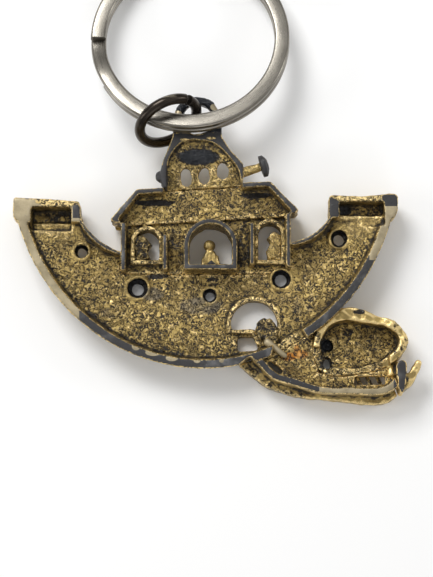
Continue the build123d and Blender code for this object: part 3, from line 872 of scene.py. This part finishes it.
pegSet = {
    "nodes": ["horn_peg"], "voxel": 0.07, "lump": 0.03, "lumpSize": 0.6, "polish": 0.4,
    "middle": (3.45, -0.145), "lean": (0.956, 0.292), "headFrom": 2.05, "shaftStain": 0.3,
}
slatSet = {"nodes": ["gangway_slats"], "voxel": 0.07, "lump": 0.02}


def touchPeg(co, nor, values):
    # the mushroom head is bare grey, the shaft lightly stained
    s = pegSet
    x, y = co[:, 0] / mm - s["middle"][0], co[:, 1] / mm - s["middle"][1]
    head = x * s["lean"][0] + y * s["lean"][1] > s["headFrom"]
    values["rim"] = np.where(head, 1.0, values["rim"])
    values["tone"] = np.zeros(len(co))
    values["stainAndShade"] = np.where(head, 0.0, s["shaftStain"])


castPiece("hornPeg", pegSet, touch=touchPeg)
castPiece("gangwaySlats", slatSet, touch=touchDark)
print("casting made")


# rings

def circleOf(nodeName):
    co = points(frame["nodes"][nodeName].data)
    co = np.unique(co.round(7), axis=0)
    centre = co.mean(0)
    normal = np.linalg.svd(co - centre, full_matrices=False)[2][2]
    across = np.cross(normal, (0.0, 0.0, 1.0))
    across /= np.linalg.norm(across)
    along = np.cross(normal, across)
    u, v = (co - centre) @ across, (co - centre) @ along
    fit = np.linalg.lstsq(np.stack([2 * u, 2 * v, np.ones(len(u))], 1), u * u + v * v, rcond=None)[0]
    return centre + fit[0] * across + fit[1] * along, normal


wireFinish = {
    "lineScale": 60.0, "lineStretch": 0.05, "lineDark": 0.45, "lineRough": 0.16,
    "speckScale": 700.0, "wearCloud": 0.6, "bump": 0.25, "bumpDepth": 0.00002,
    "uvLength": 0.01,  # metres of wire in one unit of its UV map
}
nickelSet = {
    "base": (0.36, 0.335, 0.29, 1), "dark": (0.13, 0.12, 0.10, 1), "worn": (0.03, 0.026, 0.018, 1),
    "roughness": 0.22, "metallic": 0.95, "speckAmount": 0.3, "cloudDark": 0.35,
}
steelSet = {
    "base": (0.085, 0.070, 0.055, 1), "dark": (0.02, 0.016, 0.013, 1), "worn": (0.42, 0.37, 0.28, 1),
    "roughness": 0.20, "metallic": 0.9, "speckAmount": 0.5, "cloudDark": 0.6,
}


def ringMaterial(name, s):
    f = wireFinish
    mat, tree, shader, place = newMaterial(name)
    link = tree.links.new
    uv = tree.nodes.new("ShaderNodeUVMap")
    lines = placeGroup(tree, hairlines, uv.outputs["UV"], Scale=f["lineScale"], Stretch=f["lineStretch"])
    chip = placeGroup(tree, specks, place, Scale=f["speckScale"], Amount=s["speckAmount"])
    cloud = chip.outputs["Cloud"]
    lineDark = calc(tree, "MULTIPLY", lines.outputs["Lines"], f["lineDark"])
    colour = blendColour(tree, lineDark, s["base"], s["dark"])
    colour = blendColour(tree, spread(tree, cloud, 0.62, 0.36, 0.0, s["cloudDark"]), colour, s["dark"])
    wear = calc(tree, "ADD", attributeOf(tree, "wear"), calc(tree, "MULTIPLY", cloud, f["wearCloud"]))
    colour = blendColour(tree, spread(tree, wear, 0.95, 1.05), colour, s["worn"])
    link(colour, shader.inputs["Base Color"])
    shader.inputs["Metallic"].default_value = s["metallic"]
    rough = calc(tree, "MULTIPLY_ADD", lines.outputs["Lines"], f["lineRough"], s["roughness"])
    link(rough, shader.inputs["Roughness"])
    bump = tree.nodes.new("ShaderNodeBump")
    bump.inputs["Strength"].default_value = f["bump"]
    bump.inputs["Distance"].default_value = f["bumpDepth"]
    link(lines.outputs["Height"], bump.inputs["Height"])
    link(bump.outputs["Normal"], shader.inputs["Normal"])
    return mat


nickel = ringMaterial("satinNickel", nickelSet)
darkSteel = ringMaterial("gunmetalSteel", steelSet)


def wireMesh(name, centres, outs, ups, section):
    # a closed wire of the given section, with its length along U
    rows, size = len(centres), len(section)
    co = np.zeros((rows, size, 3))
    for k, (a, b) in enumerate(section):
        co[:, k] = centres + outs * a + ups * b
    form = bmesh.new()
    verts = [[form.verts.new(p) for p in row] for row in co]
    uvLayer = form.loops.layers.uv.new("UVMap")
    length = np.concatenate([[0], np.cumsum(np.linalg.norm(np.diff(centres, axis=0), axis=1))])
    for i in range(rows - 1):
        for k in range(size):
            nxt = (k + 1) % size
            face = form.faces.new((verts[i][k], verts[i + 1][k], verts[i + 1][nxt], verts[i][nxt]))
            across = (k / size, k / size, (k + 1) / size, (k + 1) / size)
            along = (length[i], length[i + 1], length[i + 1], length[i])
            for loop, s, t in zip(face.loops, along, across):
                loop[uvLayer].uv = (s / wireFinish["uvLength"], t)
            face.smooth = True
    form.faces.new(verts[0])
    form.faces.new(verts[-1][::-1])
    bmesh.ops.recalc_face_normals(form, faces=form.faces)
    mesh = bpy.data.meshes.new(name)
    form.to_mesh(mesh)
    form.free()
    return mesh


def finishRing(name, mesh, material, wear, ring, slotName):
    # each ring's node and body have the same name
    addValue(mesh, "wear", wear)
    mesh.materials.append(material)
    addPiece(name, mesh, slotName, ring, ring)
    print(name, len(mesh.polygons), "faces")


jumpSet = {
    "radius": 3.825, "wire": 0.66, "gapAngle": 37.0, "gap": 9.0, "steps": 180, "sides": 28,
    "wear": 0.72, "wearFrom": 1.5, "wearOver": 0.6,  # rubbed on the upper side away from the charm
}


def makeJumpRing():
    s = jumpSet
    centre, normal = circleOf("jump_ring")
    if normal[2] < 0:
        normal = -normal
    across = np.array((-normal[1], normal[0], 0.0))
    across /= np.linalg.norm(across)
    along = np.cross(normal, across)
    start = math.radians(s["gapAngle"] + s["gap"] / 2)
    sweep = math.radians(360 - s["gap"])
    turn = np.linspace(start, start + sweep, s["steps"])
    outs = np.cos(turn)[:, None] * across + np.sin(turn)[:, None] * along
    centres = centre + outs * s["radius"] * mm
    ups = np.tile(normal, (len(turn), 1))
    ring = [(math.cos(a) * s["wire"] * mm, math.sin(a) * s["wire"] * mm)
            for a in np.linspace(0, 2 * math.pi, s["sides"], endpoint=False)]
    mesh = wireMesh("jumpRing", centres, outs, ups, ring)
    co = points(mesh)
    upper = ramp(co[:, 1] - centre[1], s["wearFrom"] * mm, s["wearOver"] * mm)
    facing = ramp(normals(mesh)[:, 2], 0.2, 0.4)
    finishRing("jumpRing", mesh, darkSteel, s["wear"] * upper * facing, "jump_ring", "dark_steel")


splitSet = {
    "radius": 11.55, "band": 1.88, "layer": 0.89, "gap": 0.1, "endAngle": 180.0, "joggle": 30.0,
    "corner": 0.30, "steps": 700,
    "endDark": 0.75, "endRows": 5.0,  # the two cut ends show dark
}


def roundedSection(width, height, corner, perCorner=4):
    out = []
    for cx, cy, first in ((1, 1, 0), (-1, 1, 90), (-1, -1, 180), (1, -1, 270)):
        for step in range(perCorner + 1):
            a = math.radians(first + 90 * step / perCorner)
            out.append(((cx * (width / 2 - corner) + corner * math.cos(a)) * mm,
                        (cy * (height / 2 - corner) + corner * math.sin(a)) * mm))
    return out


def makeSplitRing():
    s = splitSet
    joint = [j for j in frame["joints"] if j["child"] == "split_ring"][0]
    centre, normal = np.array(joint["pos_m"]), np.array(joint["axis"])
    normal = normal / np.linalg.norm(normal)
    across = np.array((normal[2], 0.0, -normal[0]))
    across /= np.linalg.norm(across)
    along = np.cross(normal, across)
    angles = np.linspace(s["endAngle"] + 360, s["endAngle"] + s["joggle"] - 360, s["steps"])
    level = (s["layer"] + s["gap"]) / 2
    step = np.clip((s["endAngle"] + s["joggle"] - angles) / s["joggle"], 0, 1)
    step = step * step * (3 - 2 * step)
    heights = level - 2 * level * step
    turn = np.radians(angles)
    outs = np.cos(turn)[:, None] * across + np.sin(turn)[:, None] * along
    centres = centre + outs * s["radius"] * mm + normal * (heights * mm)[:, None]
    ups = np.tile(normal, (len(turn), 1))
    mesh = wireMesh("splitRing", centres, outs, ups, roundedSection(s["band"], s["layer"], s["corner"]))
    size = len(mesh.vertices) // s["steps"]
    row = np.arange(len(mesh.vertices)) // size
    # darker at the two cut ends
    cut = np.exp(-(row / s["endRows"]) ** 2) + np.exp(-((s["steps"] - 1 - row) / s["endRows"]) ** 2)
    finishRing("splitRing", mesh, nickel, s["endDark"] * cut, "split_ring", "nickel")


# relief of the front and the small repeated pieces

def growTree(name, inputs):
    tree = bpy.data.node_groups.new(name, "GeometryNodeTree")
    tree.interface.new_socket("Geometry", in_out="INPUT", socket_type="NodeSocketGeometry")
    tree.interface.new_socket("Geometry", in_out="OUTPUT", socket_type="NodeSocketGeometry")
    for label, kind, value in inputs:
        tree.interface.new_socket(label, in_out="INPUT", socket_type=kind).default_value = value
    return tree, tree.nodes.new("NodeGroupInput"), tree.nodes.new("NodeGroupOutput")


def closeTree(tree, result, outs, material):
    real = tree.nodes.new("GeometryNodeRealizeInstances")
    paint = tree.nodes.new("GeometryNodeSetMaterial")
    paint.inputs["Material"].default_value = material
    tree.links.new(result, real.inputs[0])
    tree.links.new(real.outputs[0], paint.inputs["Geometry"])
    tree.links.new(paint.outputs[0], outs.inputs[0])


def beadTree():
    # a round bead swept along every edge path of the given mesh
    tree, ins, outs = growTree("beads", [
        ("Radius", "NodeSocketFloat", 0.0001), ("Sides", "NodeSocketInt", 8)])
    paths = tree.nodes.new("GeometryNodeMeshToCurve")
    profile = tree.nodes.new("GeometryNodeCurvePrimitiveCircle")
    sweep = tree.nodes.new("GeometryNodeCurveToMesh")
    sweep.inputs["Fill Caps"].default_value = True
    tree.links.new(ins.outputs["Geometry"], paths.inputs[0])
    tree.links.new(ins.outputs["Sides"], profile.inputs["Resolution"])
    tree.links.new(ins.outputs["Radius"], profile.inputs["Radius"])
    tree.links.new(paths.outputs[0], sweep.inputs["Curve"])
    tree.links.new(profile.outputs[0], sweep.inputs["Profile Curve"])
    closeTree(tree, sweep.outputs[0], outs, castSkin)
    return tree


def shingleTree():
    # rounded tiles on staggered rows, kept between two sloping ends
    tree, ins, outs = growTree("shingles", [
        ("Pitch", "NodeSocketFloat", 0.0015), ("Row", "NodeSocketFloat", 0.00105),
        ("Columns", "NodeSocketInt", 16), ("Rows", "NodeSocketInt", 4),
        ("Thickness", "NodeSocketFloat", 0.0002),
        ("Middle", "NodeSocketVector", (0, 0, 0)), ("HalfWidth", "NodeSocketFloat", 0.010),
        ("Slope", "NodeSocketFloat", 0.9), ("Lean", "NodeSocketFloat", 0.05)])
    new, link = tree.nodes.new, tree.links.new
    grid = new("GeometryNodeMeshGrid")
    link(ins.outputs["Columns"], grid.inputs["Vertices X"])
    link(ins.outputs["Rows"], grid.inputs["Vertices Y"])
    link(calc(tree, "MULTIPLY", ins.outputs["Pitch"], calc(tree, "SUBTRACT", ins.outputs["Columns"], 1)),
         grid.inputs["Size X"])
    link(calc(tree, "MULTIPLY", ins.outputs["Row"], calc(tree, "SUBTRACT", ins.outputs["Rows"], 1)),
         grid.inputs["Size Y"])
    split = new("ShaderNodeSeparateXYZ")
    link(new("GeometryNodeInputPosition").outputs[0], split.inputs[0])
    rowNumber = calc(tree, "DIVIDE", split.outputs[1], ins.outputs["Row"])
    odd = calc(tree, "PINGPONG", calc(tree, "ADD", rowNumber, 20.5), 1.0)
    halfPitch = calc(tree, "MULTIPLY", ins.outputs["Pitch"], 0.5)
    shift = calc(tree, "MULTIPLY", calc(tree, "ROUND", odd), halfPitch)
    x = calc(tree, "ADD", split.outputs[0], shift)
    y = calc(tree, "MULTIPLY_ADD", x, ins.outputs["Lean"], split.outputs[1])
    join = new("ShaderNodeCombineXYZ")
    link(x, join.inputs[0])
    link(y, join.inputs[1])
    place = new("ShaderNodeVectorMath")
    link(join.outputs[0], place.inputs[0])
    link(ins.outputs["Middle"], place.inputs[1])
    narrowed = calc(tree, "MULTIPLY", split.outputs[1], ins.outputs["Slope"])
    limit = calc(tree, "SUBTRACT", ins.outputs["HalfWidth"], narrowed)
    outside = new("FunctionNodeCompare")
    outside.operation = "GREATER_THAN"
    link(calc(tree, "ABSOLUTE", x), outside.inputs[0])
    link(limit, outside.inputs[1])
    drop = new("GeometryNodeDeleteGeometry")
    drop.domain = "POINT"
    shifted = new("GeometryNodeSetPosition")
    link(grid.outputs["Mesh"], drop.inputs["Geometry"])
    link(outside.outputs[0], drop.inputs["Selection"])
    link(drop.outputs[0], shifted.inputs["Geometry"])
    link(place.outputs[0], shifted.inputs["Position"])
    face = new("GeometryNodeCurvePrimitiveQuadrilateral")
    link(calc(tree, "MULTIPLY", ins.outputs["Pitch"], 0.92), face.inputs["Width"])
    link(calc(tree, "MULTIPLY", ins.outputs["Row"], 0.92), face.inputs["Height"])
    fillet = new("GeometryNodeFilletCurve")
    fillet.mode = "POLY"
    fillet.inputs["Count"].default_value = 3
    link(calc(tree, "MULTIPLY", ins.outputs["Row"], 0.3), fillet.inputs["Radius"])
    fill = new("GeometryNodeFillCurve")
    fill.mode = "NGONS"
    raised = new("GeometryNodeExtrudeMesh")
    link(face.outputs[0], fillet.inputs["Curve"])
    link(fillet.outputs[0], fill.inputs["Curve"])
    link(fill.outputs[0], raised.inputs["Mesh"])
    link(ins.outputs["Thickness"], raised.inputs["Offset Scale"])
    both = new("GeometryNodeJoinGeometry")
    flip = new("GeometryNodeFlipFaces")
    link(fill.outputs[0], flip.inputs[0])
    link(flip.outputs[0], both.inputs[0])
    link(raised.outputs["Mesh"], both.inputs[0])
    weld = new("GeometryNodeMergeByDistance")
    weld.inputs["Distance"].default_value = 0.000002
    link(both.outputs[0], weld.inputs["Geometry"])
    spot = new("GeometryNodeInstanceOnPoints")
    link(shifted.outputs[0], spot.inputs["Points"])
    link(weld.outputs[0], spot.inputs["Instance"])
    closeTree(tree, spot.outputs[0], outs, castSkin)
    return tree


def ringTree():
    # one bezel per point, its size taken from the point's own reach
    tree, ins, outs = growTree("bezels", [("Bead", "NodeSocketFloat", 0.12), ("Sides", "NodeSocketInt", 8)])
    new, link = tree.nodes.new, tree.links.new
    hoop = new("GeometryNodeCurvePrimitiveCircle")
    hoop.inputs["Resolution"].default_value = 40
    hoop.inputs["Radius"].default_value = 1.0
    profile = new("GeometryNodeCurvePrimitiveCircle")
    link(ins.outputs["Sides"], profile.inputs["Resolution"])
    link(ins.outputs["Bead"], profile.inputs["Radius"])
    sweep = new("GeometryNodeCurveToMesh")
    link(hoop.outputs[0], sweep.inputs["Curve"])
    link(profile.outputs[0], sweep.inputs["Profile Curve"])
    reach = new("GeometryNodeInputNamedAttribute")
    reach.data_type = "FLOAT"
    reach.inputs["Name"].default_value = "reach"
    spot = new("GeometryNodeInstanceOnPoints")
    link(ins.outputs["Geometry"], spot.inputs["Points"])
    link(sweep.outputs[0], spot.inputs["Instance"])
    link(reach.outputs["Attribute"], spot.inputs["Scale"])
    closeTree(tree, spot.outputs[0], outs, castSkin)
    return tree


def growPiece(name, mesh, tree, settings, polish):
    # runs a node tree on the mesh and keeps the plain result
    obj = bpy.data.objects.new(name, mesh)
    scene.collection.objects.link(obj)
    modifier = obj.modifiers.new(name, "NODES")
    modifier.node_group = tree
    for item in tree.interface.items_tree:
        if item.item_type == "SOCKET" and item.in_out == "INPUT" and item.name in settings:
            modifier[item.identifier] = settings[item.name]
    made = bake(obj, name)
    addValues(made, {"polish": np.full(len(made.vertices), polish)})
    made.polygons.foreach_set("use_smooth", np.ones(len(made.polygons), bool))
    addPiece(name, made, "gold_plate", "ark")
    print(name, len(made.polygons), "faces")


def pathMesh(name, paths):
    verts, edges = [], []
    for path in paths:
        first = len(verts)
        verts += path
        edges += [(first + k, first + k + 1) for k in range(len(path) - 1)]
    mesh = bpy.data.meshes.new(name)
    mesh.from_pydata(verts, edges, [])
    return mesh


strakeSet = {
    "middle": (-1.55, 1.0), "halfWidth": 23.6, "depth": 25.3,  # mm, an ellipse just inside the keel
    "count": 8, "first": 0.25, "pitch": 2.05, "bead": 0.12, "sides": 8, "steps": 160, "lift": 0.02,
    "bellyRadius": 120.0, "bellyMiddle": (-1.25, -16.7), "polish": 0.6,
    # what the strakes keep clear of
    "cabin": (-12.2, 9.5, -13.3), "deckBeyond": 10.0, "deckLow": -11.0, "deckClimb": 0.62,
    "deckStart": 11.0, "deckTop": -7.0, "porthole": 0.2, "door": 0.3, "doorLow": -24.2,
}
bezelSet = {"bead": 0.11, "sides": 8, "lift": 0.06, "inset": 0.1, "polish": 0.8}


def bellyZ(x, y):
    s = strakeSet
    away = (x - s["bellyMiddle"][0]) ** 2 + (y - s["bellyMiddle"][1]) ** 2
    return s["bellyRadius"] - math.sqrt(s["bellyRadius"] ** 2 - away)


def clearOf(x, y):
    # true where a strake may run: off the cabin, the end caps, the portholes and the door
    s = strakeSet
    if s["cabin"][0] < x < s["cabin"][1] and y > s["cabin"][2]:
        return False
    climb = s["deckLow"] + s["deckClimb"] * max(0, abs(x + 0.5) - s["deckStart"])
    if abs(x) > s["deckBeyond"] and y > min(s["deckTop"], climb):
        return False
    for collar in collars:
        low, high = (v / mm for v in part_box(collar))
        reach = (high.x - low.x) / 2 + s["porthole"]
        if math.hypot(x - (low.x + high.x) / 2, y - (low.y + high.y) / 2) < reach:
            return False
    low, high = (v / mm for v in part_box("hatch_frame"))
    beside = low.x - s["door"] < x < high.x + s["door"]
    return not (beside and s["doorLow"] < y < high.y + s["door"])


def strakes():
    s = strakeSet
    paths = []
    for number in range(s["count"]):
        inset = s["first"] + number * s["pitch"]
        path = []
        for step in range(s["steps"] + 1):
            turn = math.pi + math.pi * step / s["steps"]
            x = s["middle"][0] + (s["halfWidth"] - inset) * math.cos(turn)
            y = s["middle"][1] + (s["depth"] - inset) * math.sin(turn)
            if clearOf(x, y):
                path.append((x * mm, y * mm, max(bellyZ(x, y) + s["lift"], s["bead"]) * mm))
                continue
            if len(path) > 3:
                paths.append(path)
            path = []
        if len(path) > 3:
            paths.append(path)
    return paths


def bezelPoints():
    s = bezelSet
    mesh = bpy.data.meshes.new("bezelPoints")
    rows = [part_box(collar) for collar in collars]
    middles = [((a.x + b.x) / 2, (a.y + b.y) / 2, a.z + s["lift"] * mm) for a, b in rows]
    mesh.from_pydata(middles, [], [])
    addValue(mesh, "reach", [(b.x - a.x) / 2 - s["inset"] * mm for a, b in rows])
    return mesh


roofLow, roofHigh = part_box("cabin_roof")
shingleSet = {
    "Pitch": 1.45 * mm, "Row": 1.05 * mm, "Columns": 16, "Rows": 4, "Thickness": 0.25 * mm,
    "Middle": ((roofLow.x + roofHigh.x) / 2 - 0.4 * mm, (roofLow.y + roofHigh.y) / 2 - 0.25 * mm,
               roofLow.z - 0.12 * mm),
    "HalfWidth": 9.6 * mm, "Slope": 0.9, "Lean": 0.06,
}
growPiece("hullStrakes", pathMesh("strakes", strakes()), beadTree(),
          {"Radius": strakeSet["bead"] * mm, "Sides": strakeSet["sides"]}, strakeSet["polish"])
growPiece("portholeBezels", bezelPoints(), ringTree(),
          {"Bead": bezelSet["bead"], "Sides": bezelSet["sides"]}, bezelSet["polish"])
growPiece("roofShingles", bpy.data.meshes.new("roofSeed"), shingleTree(), shingleSet, 0.5)
print("front relief made")


makeJumpRing()
makeSplitRing()
print("rings made")
